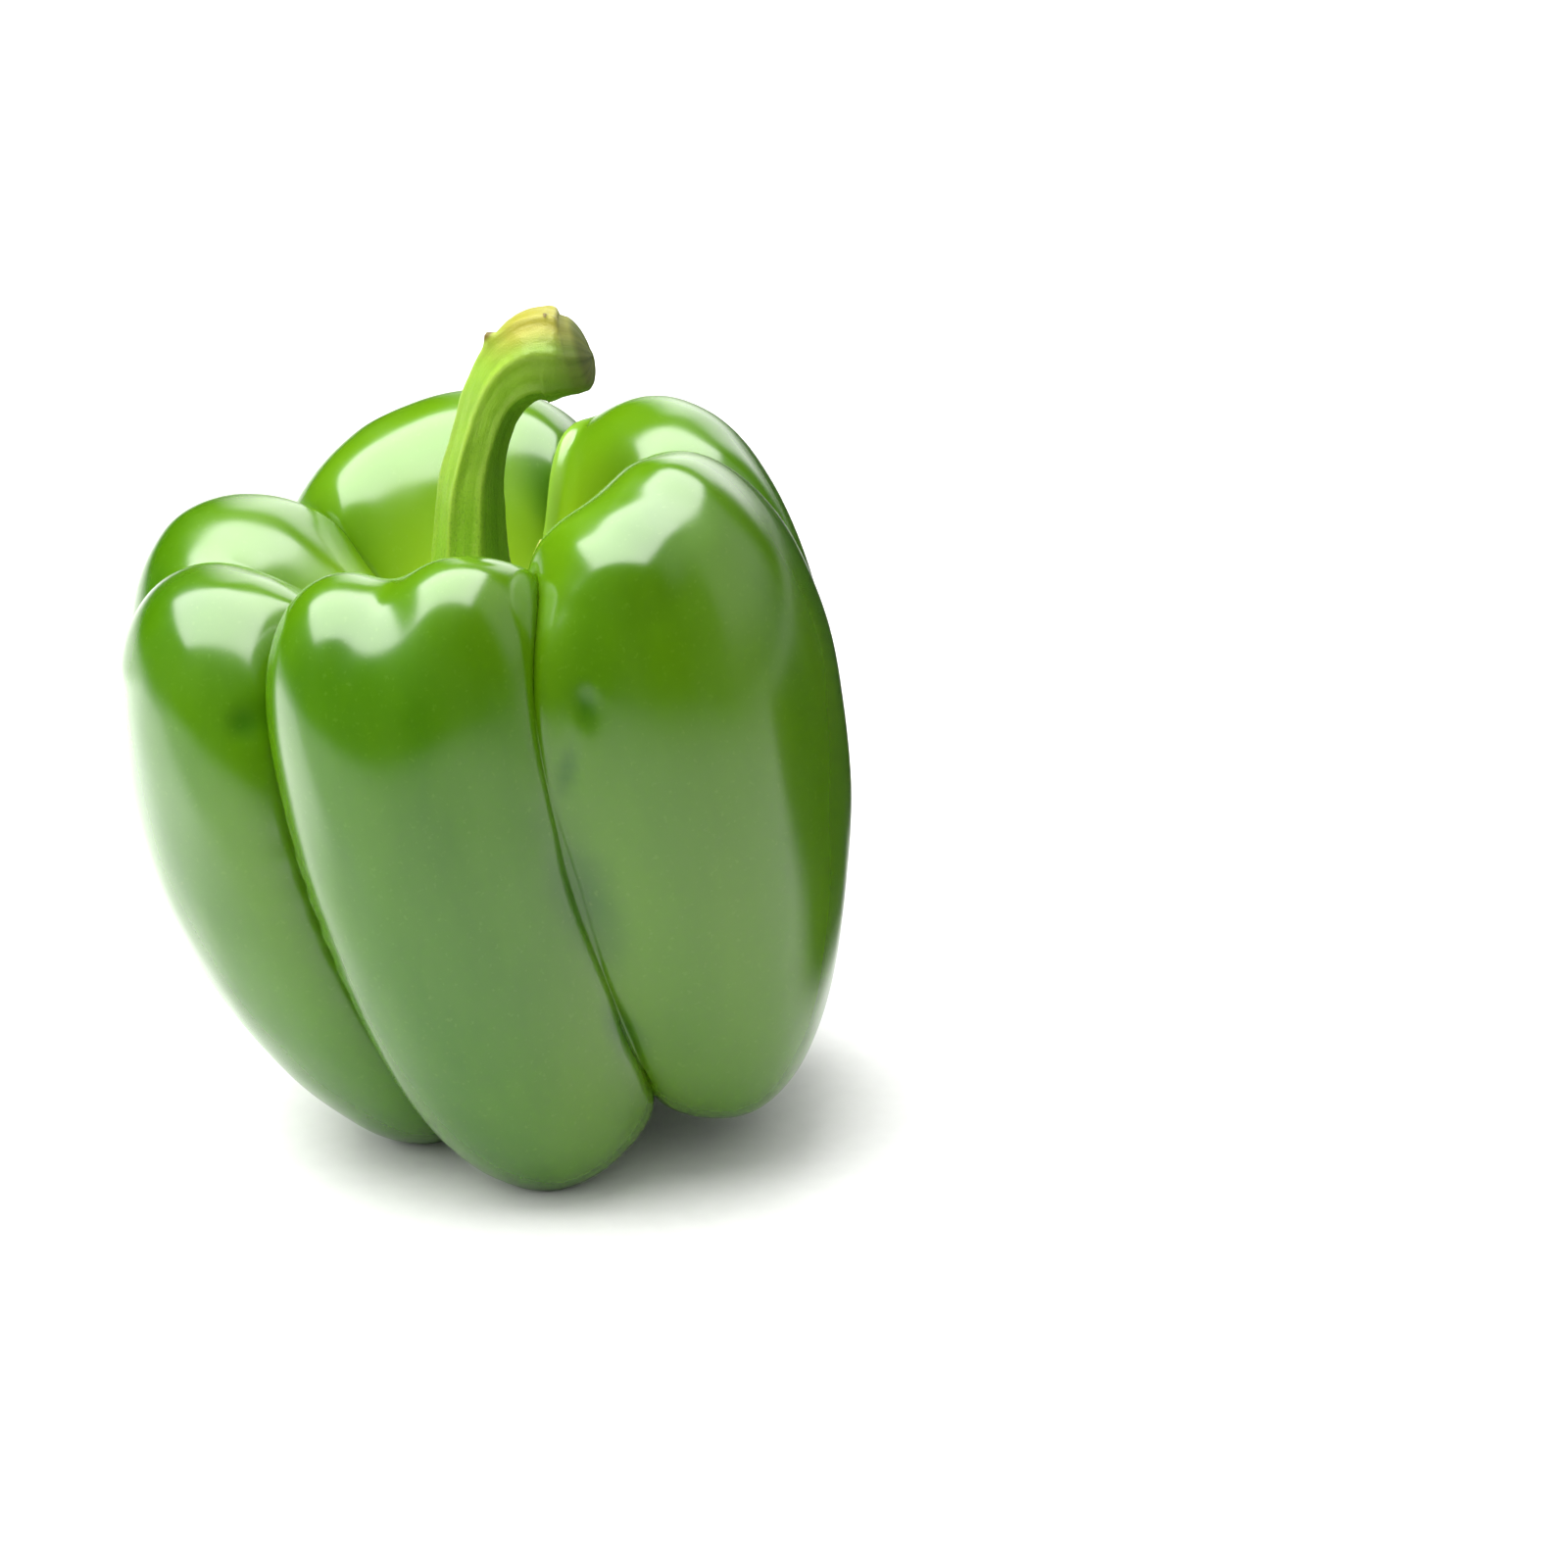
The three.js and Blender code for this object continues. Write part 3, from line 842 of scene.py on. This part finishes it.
def area_light(name, place, size, power):
    """A soft square light turned to the middle of the fruit; gloss doesn't mirror it."""
    light = bpy.data.lights.new(name, "AREA")
    light.shape = "SQUARE"
    light.size = size
    light.energy = power
    lamp = bpy.data.objects.new(name, light)
    lamp.location = place
    middle = (fruit_low + fruit_high) / 2
    lamp.rotation_euler = (middle - Vector(place)).to_track_quat("-Z", "Y").to_euler()
    lamp.visible_glossy = False
    bpy.context.scene.collection.objects.link(lamp)


def room(low, high, to_left):
    """A room that is brighter above and to the left. What gloss mirrors are the cards and the table."""
    world = bpy.data.worlds.new("room")
    bpy.context.scene.world = world
    world.use_nodes = True
    nodes = Nodes(world.node_tree)
    x, _, z = nodes.split(nodes.new("ShaderNodeTexCoord").outputs["Generated"])
    upwards = nodes.ranged(z, 0.1, 1, low, high)
    sideways = nodes.math("MULTIPLY_ADD", x, -to_left, 1)
    background = nodes.tree.nodes["Background"]
    nodes.feed(background.inputs["Color"], (1, 1, 1, 1))
    nodes.feed(background.inputs["Strength"], nodes.math("MULTIPLY", upwards, sideways))
    world.cycles_visibility.glossy = False


FACING_UP = (0, 0, 0)
FACING_DOWN = (math.pi, 0, 0)
FACING_LEFT = (math.pi / 2, 0, math.pi / 2)
FACING_FRONT = (math.pi / 2, 0, 0)
JUST_ABOVE_TABLE = 0.0006

# What the skin mirrors: name, size, place, turn, radiance, and the share of the size that glows evenly. The
# two sheets stand for the table's glare at the left and for dark neighbours at the right.
CARDS = [
    ("softbox", (1.25, 0.85), (-0.06, 0.06, 0.72), FACING_DOWN, 10.5, 0.8),
    ("pale_side", (1.4, 1.6), (1.1, 0.1, 0.75), FACING_LEFT, 1.0, 0.5),
    ("pale_back", (1.4, 1.2), (0.4, 1.2, 0.6), FACING_FRONT, 3.0, 0.4),
    ("bright_sheet", (0.66, 0.32), (-0.37, 0.04, JUST_ABOVE_TABLE), FACING_UP, 5.0, 0.6),
    ("dark_sheet", (0.8, 1.4), (0.455, 0.68, 2 * JUST_ABOVE_TABLE), FACING_UP, 0.02, 0.95),
]

white_table()
room(low=0.62, high=0.95, to_left=0.55)
area_light("window", (-1.0, -0.25, 0.75), size=1.0, power=6)
area_light("skylight", (-0.25, 0.05, 0.9), size=0.9, power=16)
for name, size, place, turn, radiance, edge in CARDS:
    card = staged_plane(name, size, place, turn)
    glowing(card, radiance, edge)
    only_in_gloss(card)
